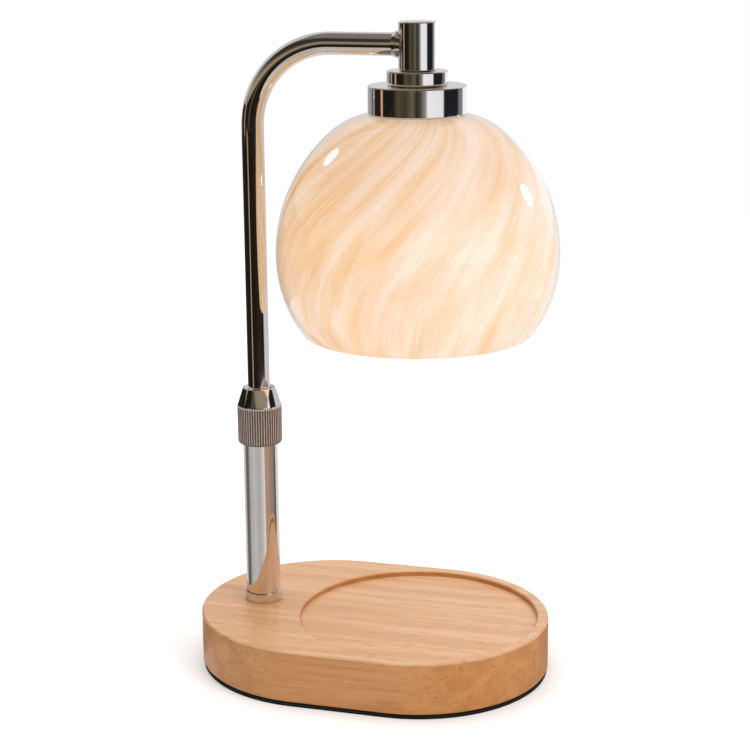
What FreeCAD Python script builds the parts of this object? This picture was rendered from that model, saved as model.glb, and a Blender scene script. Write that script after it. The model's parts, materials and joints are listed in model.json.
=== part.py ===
import FreeCAD, Part
import math
import os

# Candle warmer lamp. Millimetres, +Z up. The origin is the middle of the underside of the base.
# X runs along the base: the post stands near the -X end and the candle under the shade near the +X end.

Vector = FreeCAD.Vector
UP = Vector(0, 0, 1)

# Base: a wooden block with half-round ends on a soft pad
base_width = 120.0
base_straight = 43.0
pad_thickness = 2.0
pad_inset = 0.4
wood_thickness = 23.8
wood_edge_chamfer = 0.6
candle_rim = 5.0
candle_recess_depth = 2.5
recess_edge_chamfer = 0.5

# Pocket under the wood for the wires, and the steel plate that closes it
plate_thickness = 3.0
plate_margin = 8.0
pocket_radius = 14.0
pocket_depth = 16.5
pocket_end_x = -12.0
plate_screw_radius = 1.75
plate_screw_head_radius = 3.4
plate_screw_length = 12.0
plate_screw_tip_radius = 0.45
plate_screw_offset = 25.5

# Cord inlet in the rear side
inlet_x = -12.0
inlet_height = 11.5
grommet_bore_radius = 3.2
grommet_wall = 1.3
grommet_length = 16.0
grommet_flange_radius = 6.5
grommet_flange = 1.8
grommet_chamfer = 0.6

# Post: outer tube with a foot ring, held down by a hollow stud
post_from_end = 27.1
outer_tube_radius = 8.0
outer_tube_wall = 1.0
outer_tube_length = 79.2
foot_ring_radius = 8.75
foot_ring_height = 4.5
foot_ring_chamfer = 0.5
plug_length = 10.0
stud_radius = 5.0
stud_bore_radius = 3.5
washer_radius = 12.0
washer_thickness = 1.6
stud_nut_flats = 15.0
stud_nut_height = 4.0
stud_tail = 0.9

# Clamp at the top of the outer tube: collet, ring and knurled nut
collet_insert = 10.0
collet_flange = 2.0
collet_thread_radius = 7.5
collet_thread_length = 10.0
collet_finger_length = 7.0
collet_finger_foot_radius = 7.0
collet_finger_tip_radius = 5.95
collet_slot_width = 1.0
collet_slot_count = 4
collet_slot_depth = 13.0
clamp_ring_lip = 0.6
clamp_ring_start = 2.0
nut_radius = 10.25
nut_skirt = 1.9
nut_knurl_height = 18.0
nut_cone_height = 8.3
nut_cone_top_radius = 7.4
nut_lip = 4.4
nut_foot_chamfer = 0.9
ridge_count = 54
ridge_depth = 0.45
groove_share = 0.8

# Arm: inner tube that slides and turns in the post, bent over at the top
arm_radius = 5.0
arm_wall = 1.0
arm_bend_radius = 37.0
arm_height = 260.6
travel_down = 25.0
bush_length = 10.0
clip_radius = 6.4
clip_thickness = 1.2
tube_end_below_clip = 1.0
ferrule_radius = 5.9
ferrule_length = 2.4

# Hub, disc and cap at the end of the arm
hub_radius = 8.1
hub_above_axis = 9.9
hub_below_axis = 10.9
hub_chamfer = 0.7
hub_tube_seat = 3.6
disc_radius = 13.25
disc_height = 6.3
disc_chamfer = 0.8
cap_radius = 21.5
cap_height = 12.3
cap_wall = 1.2
cap_round = 1.6
nipple_radius = 5.0
nipple_bore_radius = 3.5
nipple_in_hub = 5.5

# Glass shade: a globe of three arcs with a flat land under the cap and an open mouth
glass_radius = 62.7
glass_wall = 3.0
glass_skirt_arc = 58.3
glass_shoulder_arc = 31.0
glass_shoulder_angle = 50.0
glass_mouth_radius = 50.5
glass_mouth_chamfer = 1.0

# Lampholder, gaskets and shade ring
holder_radius = 15.0
holder_below_land = 13.6
holder_spigot = 4.0
holder_spigot_radius = 13.6
holder_screw_radius = 1.5
holder_screw_head_radius = 2.8
holder_screw_head = 1.6
holder_screw_offset = 10.0
cover_flange = 2.0
cover_flange_inset = 0.9
cover_neck_radius = 8.0
cover_thread = 5.0
gasket_thickness = 1.0
gasket_width = 1.9
shade_ring_flange = 2.4
shade_ring_height = 7.0
shade_ring_radius = 20.5
shade_ring_wall = 2.4
shade_ring_notches = 12
notch_radius = 1.3

# Reflector bulb with two locking pins
bulb_base_radius = 11.5
bulb_base_width = 15.5
bulb_base_length = 15.0
pin_spacing = 10.0
pin_radius = 1.3
pin_head_radius = 2.5
pin_length = 7.0
pin_head = 2.0
contact_thickness = 0.8
contact_width = 3.0
reflector_radius = 25.0
reflector_neck_radius = 9.0
reflector_neck_length = 14.0
reflector_shoulder_radius = 18.5
reflector_length = 35.0
reflector_wall = 1.5
lens_thickness = 2.0
capsule_radius = 4.6
capsule_tip_radius = 1.5
capsule_length = 15.0

# Wires
lead_radius = 2.5
lead_bend = 4.0
lead_in_stud = 3.0
crimp_radius = 3.4
crimp_length = 16.0
crimp_chamfer = 1.7

# Clearances
seat_gap = 0.05
run_gap = 0.06
taper_gap = 0.08
loose_gap = 0.4
end_gap = 0.5

# Places that follow from the sizes above
base_end_radius = base_width / 2
base_top = pad_thickness + wood_thickness
candle_x = base_straight / 2
candle_recess_radius = base_end_radius - candle_rim
post_x = post_from_end - base_straight / 2 - base_end_radius
head_x = candle_x
plate_top = pad_thickness + plate_thickness
pocket_top = pad_thickness + pocket_depth
stud_bottom = pocket_top - washer_thickness - stud_nut_height - stud_tail
base_lead_height = plate_top + lead_radius + end_gap
base_lead_top = base_lead_height + lead_bend + lead_in_stud
outer_tube_bore = outer_tube_radius - outer_tube_wall
outer_tube_top = base_top + outer_tube_length
plug_top = base_top + plug_length
collet_bottom = outer_tube_top - collet_insert
flange_top = outer_tube_top + collet_flange
thread_top = flange_top + collet_thread_length
finger_top = thread_top + collet_finger_length
nut_bottom = outer_tube_top - nut_skirt
knurl_top = nut_bottom + nut_knurl_height
nut_top = knurl_top + nut_cone_height
nut_shoulder = nut_top - nut_lip
nut_bore_radius = collet_thread_radius + run_gap
arm_axis = base_top + arm_height
arm_bore = arm_radius - arm_wall
arm_bottom = plug_top + end_gap + travel_down
lower_clip_bottom = arm_bottom + tube_end_below_clip
bush_bottom = lower_clip_bottom + clip_thickness
bush_top = bush_bottom + bush_length
hub_bottom = arm_axis - hub_below_axis
hub_top = arm_axis + hub_above_axis
hub_seat_x = head_x - hub_radius + hub_tube_seat
disc_bottom = hub_bottom - disc_height
cap_bottom = disc_bottom - cap_height
cap_inner_radius = cap_radius - cap_wall
nipple_top = hub_bottom + nipple_in_hub
travel_up = collet_bottom - end_gap - bush_top - clip_thickness

# Arc middles of the globe as radius from its axis and height above its widest place
shoulder_turn = math.radians(glass_shoulder_angle)
skirt_middle = glass_radius - glass_skirt_arc
land_radius = holder_radius + loose_gap + gasket_width
side_span = glass_radius - land_radius - glass_shoulder_arc * math.cos(shoulder_turn)
side_arc = side_span / (1 - math.cos(shoulder_turn))
side_middle = glass_radius - side_arc
shoulder_reach = side_arc - glass_shoulder_arc
shoulder_rise = shoulder_reach * math.sin(shoulder_turn)
cap_seat_rise = shoulder_rise + math.sqrt(glass_shoulder_arc ** 2 - (cap_inner_radius - land_radius) ** 2)
glass_middle = cap_bottom - 2 * seat_gap - cap_seat_rise
land_top = glass_middle + shoulder_rise + glass_shoulder_arc
land_bottom = land_top - glass_wall
holder_flange_bottom = land_top + gasket_thickness
cover_top = disc_bottom - cap_wall
holder_bottom = land_top - holder_below_land
bulb_base_bottom = holder_bottom - bulb_base_length


def rod(radius, bottom, top, x, y=0.0):
    """Upright round rod."""
    return Part.makeCylinder(radius, top - bottom, Vector(x, y, bottom))


def sleeve(outer, inner, bottom, top, x, y=0.0):
    """Upright round tube."""
    return rod(outer, bottom, top, x, y).cut(rod(inner, bottom, top, x, y))


def cross_rod(radius, start, end, height):
    """Round rod along X through the middle plane."""
    return Part.makeCylinder(radius, end - start, Vector(start, 0, height), Vector(1, 0, 0))


def turned(outline, x):
    """Solid turned about an upright axis from corners given as radius and height."""
    corners = [Vector(x + radius, 0, height) for radius, height in outline]
    face = Part.Face(Part.makePolygon(corners + corners[:1]))
    return face.revolve(Vector(x, 0, 0), UP, 360)


def long_round(end_radius, straight, bottom, top, middle_x=0.0):
    """Block with two straight sides and half-round ends."""
    left = middle_x - straight / 2
    right = middle_x + straight / 2
    front_left = Vector(left, -end_radius, bottom)
    front_right = Vector(right, -end_radius, bottom)
    back_left = Vector(left, end_radius, bottom)
    back_right = Vector(right, end_radius, bottom)
    edges = [
        Part.LineSegment(front_left, front_right).toShape(),
        Part.Arc(front_right, Vector(right + end_radius, 0, bottom), back_right).toShape(),
        Part.LineSegment(back_right, back_left).toShape(),
        Part.Arc(back_left, Vector(left - end_radius, 0, bottom), front_left).toShape(),
    ]
    return Part.Face(Part.Wire(edges)).extrude(Vector(0, 0, top - bottom))


def edges_at(shape, height, least_length):
    """Edges of a shape that lie level at one height and are at least so long."""
    found = []
    for edge in shape.Edges:
        box = edge.BoundBox
        level = abs(box.ZMin - height) < 1e-4 and abs(box.ZMax - height) < 1e-4
        if level and edge.Length >= least_length:
            found.append(edge)
    return found


def hexagon(flats, bottom, top, x):
    """Upright hexagon bar, measured across its flats."""
    corner = flats / math.sqrt(3)
    points = []
    for index in range(6):
        turn = math.radians(60 * index)
        points.append(Vector(x + corner * math.cos(turn), corner * math.sin(turn), bottom))
    face = Part.Face(Part.makePolygon(points + points[:1]))
    return face.extrude(Vector(0, 0, top - bottom))


def pipe(path, radius):
    """Round rod that follows a smooth path which starts upright."""
    start = path.Vertexes[0].Point
    ring = Part.Wire(Part.makeCircle(radius, start, UP))
    return path.makePipeShell([ring], True, False)


def bend(start, end, corner, radius):
    """Quarter turn that joins two runs meeting at a square corner."""
    centre = start + end - corner
    middle = centre + (corner - centre).normalize() * radius
    return Part.Arc(start, middle, end).toShape()


# Base

def make_wood_base():
    """Block with the candle recess on top, the wire pocket below and the holes for stud and cord."""
    block = long_round(base_end_radius, base_straight, pad_thickness, base_top)
    outline = edges_at(block, base_top, base_straight) + edges_at(block, pad_thickness, base_straight)
    block = block.makeChamfer(wood_edge_chamfer, outline)
    recess_floor = base_top - candle_recess_depth
    block = block.cut(rod(candle_recess_radius, recess_floor, base_top, candle_x))
    recess_rim = [edge for edge in edges_at(block, base_top, 1.0)
                  if abs(edge.Length - 2 * math.pi * candle_recess_radius) < 0.1]
    block = block.makeChamfer(recess_edge_chamfer, recess_rim)
    plate_end = base_end_radius - plate_margin + loose_gap
    block = block.cut(long_round(plate_end, base_straight, pad_thickness, plate_top))
    pocket_length = pocket_end_x - post_x
    pocket_middle = (pocket_end_x + post_x) / 2
    block = block.cut(long_round(pocket_radius, pocket_length, plate_top, pocket_top, pocket_middle))
    block = block.cut(rod(stud_radius + loose_gap, pocket_top, base_top, post_x))
    inlet = Part.makeCylinder(grommet_bore_radius + grommet_wall + seat_gap, base_end_radius,
                              Vector(inlet_x, 0, inlet_height), Vector(0, 1, 0))
    block = block.cut(inlet)
    for x, y in plate_screw_places():
        block = block.cut(rod(plate_screw_radius + seat_gap, plate_top, screw_tip_height(), x, y))
    return block


def make_base_pad():
    """Soft sheet glued under the block."""
    return long_round(base_end_radius - pad_inset, base_straight, 0.0, pad_thickness)


def plate_screw_places():
    """Middles of the four plate screws."""
    along = base_straight / 2 + plate_screw_offset
    return [(side * along, way * plate_screw_offset) for side in (-1, 1) for way in (-1, 1)]


def screw_tip_height():
    """Height of the plate screws' tips."""
    return pad_thickness + plate_screw_length


def countersink(extra):
    """Height and radii of a countersunk head, grown by a clearance."""
    depth = plate_screw_head_radius - plate_screw_radius
    return depth, plate_screw_head_radius + extra, plate_screw_radius + extra


def make_base_plate():
    """Steel plate, flush with the underside of the wood."""
    plate = long_round(base_end_radius - plate_margin, base_straight, pad_thickness, plate_top)
    depth, wide, narrow = countersink(seat_gap)
    for x, y in plate_screw_places():
        plate = plate.cut(rod(narrow, pad_thickness, plate_top, x, y))
        plate = plate.cut(Part.makeCone(wide, narrow, depth, Vector(x, y, pad_thickness)))
    return plate


def make_base_plate_screws():
    """Four countersunk wood screws with pointed tips."""
    depth, wide, narrow = countersink(0.0)
    tip = 2 * plate_screw_radius
    screws = []
    for x, y in plate_screw_places():
        head = Part.makeCone(wide, narrow, depth, Vector(x, y, pad_thickness))
        shank = rod(narrow, pad_thickness + depth, screw_tip_height() - tip, x, y)
        point = Part.makeCone(narrow, plate_screw_tip_radius, tip, Vector(x, y, screw_tip_height() - tip))
        screws.append(head.fuse([shank, point]).removeSplitter())
    return Part.makeCompound(screws)


def make_cord_grommet():
    """Bush with a flange on the rear side of the wood."""
    outward = Vector(0, 1, 0)
    outer = grommet_bore_radius + grommet_wall
    start = base_end_radius - grommet_length
    body = Part.makeCylinder(outer, grommet_length, Vector(inlet_x, start, inlet_height), outward)
    flange_place = Vector(inlet_x, base_end_radius, inlet_height)
    flange = Part.makeCylinder(grommet_flange_radius, grommet_flange, flange_place, outward)
    flange = flange.makeChamfer(grommet_chamfer, [flange.Edges[0]])
    bore_length = grommet_length + grommet_flange
    bore = Part.makeCylinder(grommet_bore_radius, bore_length, Vector(inlet_x, start, inlet_height), outward)
    return body.fuse(flange).removeSplitter().cut(bore)


def crimp_start_x():
    """End faces of the crimps, where the lead from the post arrives."""
    return pocket_end_x - crimp_length


def make_crimp_caps():
    """Two closed-end crimps that lie on the plate beside each other."""
    height = plate_top + crimp_radius + seat_gap
    caps = []
    for way in (-1, 1):
        place = Vector(crimp_start_x(), way * (crimp_radius + seat_gap), height)
        cap = Part.makeCylinder(crimp_radius, crimp_length, place, Vector(1, 0, 0))
        far_rim = [edge for edge in cap.Edges if edge.BoundBox.XMin > place.x + crimp_length - 1e-4]
        caps.append(cap.makeChamfer(crimp_chamfer, far_rim))
    return Part.makeCompound(caps)


def make_base_lead():
    """Lead from the bore of the stud to the crimps."""
    low = base_lead_height
    top = Vector(post_x, 0, base_lead_top)
    turn_start = Vector(post_x, 0, low + lead_bend)
    corner = Vector(post_x, 0, low)
    turn_end = Vector(post_x + lead_bend, 0, low)
    end = Vector(crimp_start_x(), 0, low)
    path = Part.Wire([
        Part.LineSegment(top, turn_start).toShape(),
        bend(turn_start, turn_end, corner, lead_bend),
        Part.LineSegment(turn_end, end).toShape(),
    ])
    return pipe(path, lead_radius)


# Post

def make_foot_ring():
    """Turned collar round the foot of the tube."""
    inner = outer_tube_radius + seat_gap
    ring_top = base_top + foot_ring_height
    return turned([
        (inner, base_top),
        (foot_ring_radius, base_top),
        (foot_ring_radius, ring_top - foot_ring_chamfer),
        (foot_ring_radius - foot_ring_chamfer, ring_top),
        (inner, ring_top),
    ], post_x)


def make_outer_tube():
    """Lower tube of the post."""
    return sleeve(outer_tube_radius, outer_tube_bore, base_top, outer_tube_top, post_x)


def make_tube_foot_plug():
    """Threaded plug brazed into the foot of the tube."""
    return sleeve(outer_tube_bore - seat_gap, stud_radius + seat_gap, base_top, plug_top, post_x)


def make_post_stud():
    """Hollow stud from the plug down through the wood."""
    return sleeve(stud_radius, stud_bore_radius, stud_bottom, plug_top - end_gap, post_x)


def make_stud_washer():
    """Washer against the roof of the pocket."""
    return sleeve(washer_radius, stud_radius + loose_gap, pocket_top - washer_thickness, pocket_top, post_x)


def make_stud_nut():
    """Hexagon nut under the washer."""
    top = pocket_top - washer_thickness
    bottom = top - stud_nut_height
    bar = hexagon(stud_nut_flats, bottom, top, post_x)
    return bar.cut(rod(stud_radius + seat_gap, bottom, top, post_x))


# Clamp

def finger_radius(height):
    """Outer radius of the tapered fingers at a height."""
    share = (height - thread_top) / collet_finger_length
    return collet_finger_foot_radius + share * (collet_finger_tip_radius - collet_finger_foot_radius)


def make_collet_body():
    """Body pressed into the tube, threaded outside, with slots that part its top into fingers."""
    bore = arm_radius + run_gap
    insert_radius = outer_tube_bore - seat_gap
    body = turned([
        (bore, collet_bottom),
        (insert_radius, collet_bottom),
        (insert_radius, outer_tube_top),
        (outer_tube_radius, outer_tube_top),
        (outer_tube_radius, flange_top),
        (collet_thread_radius, flange_top),
        (collet_thread_radius, thread_top),
        (collet_finger_foot_radius, thread_top),
        (collet_finger_tip_radius, finger_top),
        (bore, finger_top),
    ], post_x)
    slot_start = finger_top - collet_slot_depth
    for index in range(collet_slot_count):
        slot = Part.makeBox(2 * collet_thread_radius, collet_slot_width, 2 * collet_slot_depth,
                            Vector(post_x, -collet_slot_width / 2, slot_start))
        slot.rotate(Vector(post_x, 0, 0), UP, 360 * (index + 0.5) / collet_slot_count)
        body = body.cut(slot)
    return body


def make_clamp_ring():
    """Ring with a tapered bore that the nut pushes down on the fingers."""
    bottom = thread_top + clamp_ring_start
    outer = nut_bore_radius - run_gap
    lip_bottom = nut_shoulder - clamp_ring_lip
    taper_end = min(finger_top, lip_bottom)
    return turned([
        (finger_radius(bottom) + taper_gap, bottom),
        (outer, bottom),
        (outer, nut_shoulder),
        (arm_radius + loose_gap, nut_shoulder),
        (arm_radius + loose_gap, lip_bottom),
        (finger_radius(taper_end) + taper_gap, lip_bottom),
        (finger_radius(taper_end) + taper_gap, taper_end),
    ], post_x)


def make_knurled_nut():
    """Nut with straight ridges, a polished cone and a bore for thread, ring and tube."""
    skirt_bore = outer_tube_radius + loose_gap
    tube_bore = arm_radius + loose_gap
    step = flange_top + end_gap
    top_chamfer = nut_foot_chamfer
    nut = turned([
        (skirt_bore, nut_bottom),
        (nut_radius - nut_foot_chamfer, nut_bottom),
        (nut_radius, nut_bottom + nut_foot_chamfer),
        (nut_radius, knurl_top),
        (nut_cone_top_radius, nut_top),
        (tube_bore + top_chamfer, nut_top),
        (tube_bore, nut_top - top_chamfer),
        (tube_bore, nut_shoulder),
        (nut_bore_radius, nut_shoulder),
        (nut_bore_radius, step),
        (skirt_bore, step),
    ], post_x)
    return nut.cut(Part.makeCompound(knurl_grooves()))


def knurl_grooves():
    """V-shaped grooves that leave the ridges, from the nut's foot to the start of its cone."""
    pitch = 2 * math.pi * nut_radius / ridge_count
    outside = nut_radius + ridge_depth
    spread = pitch * groove_share
    grooves = []
    for index in range(ridge_count):
        section = [
            Vector(post_x + nut_radius - ridge_depth, 0, nut_bottom),
            Vector(post_x + outside, spread, nut_bottom),
            Vector(post_x + outside, -spread, nut_bottom),
        ]
        face = Part.Face(Part.makePolygon(section + section[:1]))
        groove = face.extrude(Vector(0, 0, nut_knurl_height))
        groove.rotate(Vector(post_x, 0, 0), UP, 360 * index / ridge_count)
        grooves.append(groove)
    return grooves


# Arm

def make_guide_bush():
    """Bush that rides in the outer tube and lets the arm turn."""
    return sleeve(outer_tube_bore - run_gap, arm_radius + run_gap, bush_bottom, bush_top, post_x)


def make_bush_clips():
    """Two rings on the tube, below and above the bush."""
    inner = arm_radius + seat_gap
    lower = sleeve(clip_radius, inner, lower_clip_bottom, bush_bottom, post_x)
    upper = sleeve(clip_radius, inner, bush_top, bush_top + clip_thickness, post_x)
    return Part.makeCompound([lower, upper])


def arm_path(end_x):
    """Middle line of the arm from its lower end to a place along its level run."""
    foot = Vector(post_x, 0, arm_bottom)
    turn_start = Vector(post_x, 0, arm_axis - arm_bend_radius)
    corner = Vector(post_x, 0, arm_axis)
    turn_end = Vector(post_x + arm_bend_radius, 0, arm_axis)
    return Part.Wire([
        Part.LineSegment(foot, turn_start).toShape(),
        bend(turn_start, turn_end, corner, arm_bend_radius),
        Part.LineSegment(turn_end, Vector(end_x, 0, arm_axis)).toShape(),
    ])


def make_arm_tube():
    """Inner tube of the post and arm in one bent piece."""
    path = arm_path(hub_seat_x)
    return pipe(path, arm_radius).cut(pipe(path, arm_bore))


def make_arm_ferrule():
    """Ring on the arm, shaped to the round side of the hub."""
    start = head_x - hub_radius - ferrule_length
    ring = cross_rod(ferrule_radius, start, head_x, arm_axis)
    ring = ring.cut(cross_rod(arm_radius + seat_gap, start, head_x, arm_axis))
    return ring.cut(rod(hub_radius + seat_gap, hub_bottom, hub_top, head_x))


def make_tee_hub():
    """Turned hub with a side seat for the arm and a threaded hole below."""
    hub = turned([
        (0.0, hub_bottom),
        (hub_radius, hub_bottom),
        (hub_radius, hub_top - hub_chamfer),
        (hub_radius - hub_chamfer, hub_top),
        (0.0, hub_top),
    ], head_x)
    hub = hub.cut(rod(nipple_radius + seat_gap, hub_bottom, nipple_top + end_gap, head_x))
    hub = hub.cut(rod(arm_bore, nipple_top, arm_axis + arm_bore, head_x))
    hub = hub.cut(cross_rod(arm_radius + seat_gap, head_x - 2 * hub_radius, hub_seat_x, arm_axis))
    return hub.cut(cross_rod(arm_bore, hub_seat_x, head_x, arm_axis))


def make_neck_disc():
    """Turned disc between the hub and the cap."""
    return turned([
        (nipple_radius + loose_gap, disc_bottom),
        (disc_radius, disc_bottom),
        (disc_radius, hub_bottom - disc_chamfer),
        (disc_radius - disc_chamfer, hub_bottom),
        (nipple_radius + loose_gap, hub_bottom),
    ], head_x)


def make_shade_cap():
    """Spun cup with a rounded top edge, open below."""
    half_round = cap_round * (1 - math.sqrt(0.5))
    hole = nipple_radius + loose_gap
    return turned([
        (cap_inner_radius, cap_bottom),
        (cap_radius, cap_bottom),
        (cap_radius, disc_bottom - cap_round),
        (cap_radius - half_round, disc_bottom - half_round),
        (cap_radius - cap_round, disc_bottom),
        (hole, disc_bottom),
        (hole, cover_top),
        (cap_inner_radius, cover_top),
    ], head_x)


def make_head_nipple():
    """Hollow threaded nipple that holds hub, disc, cap and lampholder together."""
    return sleeve(nipple_radius, nipple_bore_radius, cover_top - cover_thread, nipple_top, head_x)


# Glass shade

def globe_arc(middle_radius, middle_height, radius, first, last):
    """Arc of the globe's section between two turns in radians from level, with its two end points."""
    middle = Vector(head_x + middle_radius, 0, glass_middle + middle_height)
    points = []
    for turn in (first, (first + last) / 2, last):
        points.append(middle + Vector(math.cos(turn), 0, math.sin(turn)) * radius)
    return Part.Arc(*points).toShape(), points[0], points[-1]


def globe_line(inset):
    """Edges of the globe from its mouth to its land, set in from the outside, with their ends."""
    mouth_turn = -math.acos((glass_mouth_radius - skirt_middle) / glass_skirt_arc)
    skirt, mouth, _ = globe_arc(skirt_middle, 0, glass_skirt_arc - inset, mouth_turn, 0)
    side, _, _ = globe_arc(side_middle, 0, side_arc - inset, 0, shoulder_turn)
    shoulder, _, land = globe_arc(land_radius, shoulder_rise, glass_shoulder_arc - inset,
                                  shoulder_turn, math.pi / 2)
    return [skirt, side, shoulder], mouth, land


def make_glass_shade():
    """Globe with a ground land round its hole and a mouth with broken edges."""
    outer, outer_mouth, outer_land = globe_line(0.0)
    inner, inner_mouth, inner_land = globe_line(glass_wall)
    across = (outer_mouth - inner_mouth).normalize()
    below = Vector(across.z, 0, -across.x)
    outer_tip = outer_mouth + (below - across) * glass_mouth_chamfer
    inner_tip = inner_mouth + (below + across) * glass_mouth_chamfer
    hole_x = head_x + holder_radius + loose_gap
    top_corner = Vector(hole_x, 0, outer_land.z)
    low_corner = Vector(hole_x, 0, inner_land.z)
    section = Part.Wire(Part.__sortEdges__(outer + inner + [
        Part.LineSegment(outer_land, top_corner).toShape(),
        Part.LineSegment(top_corner, low_corner).toShape(),
        Part.LineSegment(low_corner, inner_land).toShape(),
        Part.LineSegment(inner_mouth, inner_tip).toShape(),
        Part.LineSegment(inner_tip, outer_tip).toShape(),
        Part.LineSegment(outer_tip, outer_mouth).toShape(),
    ]))
    return Part.Face(section).revolve(Vector(head_x, 0, 0), UP, 360)


# Lampholder

def make_lampholder_cover():
    """Cover with a threaded neck, a hollow for the leads and a flange over the glass."""
    flange_top_height = holder_flange_bottom + cover_flange
    hollow_top = cover_top - cover_thread
    inner = holder_spigot_radius + seat_gap
    flange_radius = cap_inner_radius - cover_flange_inset
    entry = nipple_radius + seat_gap
    return turned([
        (inner, holder_flange_bottom),
        (flange_radius, holder_flange_bottom),
        (flange_radius, flange_top_height),
        (holder_radius + cover_flange_inset, flange_top_height),
        (cover_neck_radius, cover_top),
        (entry, cover_top),
        (entry, hollow_top),
        (inner, holder_flange_bottom + holder_spigot),
    ], head_x)


def pin_places():
    """Middles of the two bulb pins."""
    return [(head_x, way * pin_spacing / 2) for way in (-1, 1)]


def holder_screw_places():
    """Middles of the two screws that join body and cover."""
    return [(head_x + way * holder_screw_offset, 0.0) for way in (-1, 1)]


def socket_top():
    """Roof of the pin sockets."""
    return holder_bottom + pin_length + contact_thickness


def make_lampholder_body():
    """Holder with an outside thread, a spigot in the cover and two pin sockets."""
    spigot_top = holder_flange_bottom + holder_spigot - end_gap
    body = rod(holder_radius, holder_bottom, holder_flange_bottom, head_x)
    body = body.fuse(rod(holder_spigot_radius, holder_flange_bottom, spigot_top, head_x))
    for x, y in pin_places():
        body = body.cut(rod(pin_head_radius + loose_gap, holder_bottom, socket_top(), x, y))
    for x, y in holder_screw_places():
        body = body.cut(rod(holder_screw_radius + seat_gap, holder_bottom, spigot_top, x, y))
        head_room = rod(holder_screw_head_radius + seat_gap, holder_bottom,
                        holder_bottom + holder_screw_head, x, y)
        body = body.cut(head_room)
    return body


def make_holder_contacts():
    """Two brass strips at the roof of the sockets, on the heads of the pins."""
    strips = []
    half = pin_head_radius
    for x, y in pin_places():
        corner = Vector(x - contact_width / 2, y - half, socket_top() - contact_thickness)
        strips.append(Part.makeBox(contact_width, 2 * half, contact_thickness, corner))
    return Part.makeCompound(strips)


def make_holder_screws():
    """Two screws that join the body to the cover."""
    top = holder_flange_bottom + holder_spigot - end_gap
    screws = []
    for x, y in holder_screw_places():
        head = rod(holder_screw_head_radius, holder_bottom, holder_bottom + holder_screw_head, x, y)
        shank = rod(holder_screw_radius, holder_bottom + holder_screw_head, top, x, y)
        screws.append(head.fuse(shank))
    return Part.makeCompound(screws)


def make_gasket(bottom):
    """Soft washer round the lampholder."""
    inner = holder_radius + loose_gap
    return sleeve(land_radius, inner, bottom, bottom + gasket_thickness, head_x)


def make_shade_ring():
    """Ring on the lampholder's thread, with grip notches in its flange."""
    top = land_bottom - gasket_thickness
    bore = holder_radius + seat_gap
    ring = turned([
        (bore, top - shade_ring_height),
        (bore + shade_ring_wall, top - shade_ring_height),
        (bore + shade_ring_wall, top - shade_ring_flange),
        (shade_ring_radius, top - shade_ring_flange),
        (shade_ring_radius, top),
        (bore, top),
    ], head_x)
    for index in range(shade_ring_notches):
        turn = 2 * math.pi * index / shade_ring_notches
        x = head_x + shade_ring_radius * math.cos(turn)
        y = shade_ring_radius * math.sin(turn)
        ring = ring.cut(rod(notch_radius, top - shade_ring_flange, top, x, y))
    return ring


# Bulb

def make_bulb_base():
    """Foot of the bulb, round with two flats."""
    foot = rod(bulb_base_radius, bulb_base_bottom, holder_bottom, head_x)
    block = Part.makeBox(bulb_base_width, 2 * bulb_base_radius, bulb_base_length,
                         Vector(head_x - bulb_base_width / 2, -bulb_base_radius, bulb_base_bottom))
    return foot.common(block)


def make_bulb_pins():
    """Two pins with wide heads that lock in the sockets."""
    pins = []
    top = holder_bottom + pin_length
    for x, y in pin_places():
        shank = rod(pin_radius, holder_bottom, top - pin_head, x, y)
        pins.append(shank.fuse(rod(pin_head_radius, top - pin_head, top, x, y)))
    return Part.makeCompound(pins)


def make_bulb_reflector():
    """Open bell of the bulb, steep at the neck and wide at the rim."""
    rim = bulb_base_bottom - reflector_length
    shoulder = bulb_base_bottom - reflector_neck_length
    return turned([
        (reflector_neck_radius - reflector_wall, bulb_base_bottom),
        (reflector_neck_radius, bulb_base_bottom),
        (reflector_shoulder_radius, shoulder),
        (reflector_radius, rim),
        (reflector_radius - reflector_wall, rim),
        (reflector_shoulder_radius - reflector_wall, shoulder - reflector_wall),
    ], head_x)


def make_bulb_lens():
    """Front glass of the bulb, flat against the rim of the bell."""
    rim = bulb_base_bottom - reflector_length
    return rod(reflector_radius, rim - lens_thickness, rim, head_x)


def make_bulb_capsule():
    """Small lit capsule with a pointed tip that stands in the bell."""
    tip = bulb_base_bottom - capsule_length
    return turned([
        (0.0, bulb_base_bottom),
        (capsule_radius, bulb_base_bottom),
        (capsule_radius, tip + capsule_radius),
        (capsule_tip_radius, tip),
        (0.0, tip),
    ], head_x)


def make_arm_lead():
    """Lead from the foot of the arm over the bend and down to the lampholder."""
    low = base_lead_top + travel_down + end_gap
    end = holder_flange_bottom + holder_spigot - end_gap
    foot = Vector(post_x, 0, low)
    turn_start = Vector(post_x, 0, arm_axis - arm_bend_radius)
    turn_end = Vector(post_x + arm_bend_radius, 0, arm_axis)
    drop_start = Vector(head_x - lead_bend, 0, arm_axis)
    drop_end = Vector(head_x, 0, arm_axis - lead_bend)
    path = Part.Wire([
        Part.LineSegment(foot, turn_start).toShape(),
        bend(turn_start, turn_end, Vector(post_x, 0, arm_axis), arm_bend_radius),
        Part.LineSegment(turn_end, drop_start).toShape(),
        bend(drop_start, drop_end, Vector(head_x, 0, arm_axis), lead_bend),
        Part.LineSegment(drop_end, Vector(head_x, 0, end)).toShape(),
    ])
    return pipe(path, lead_radius)


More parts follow.
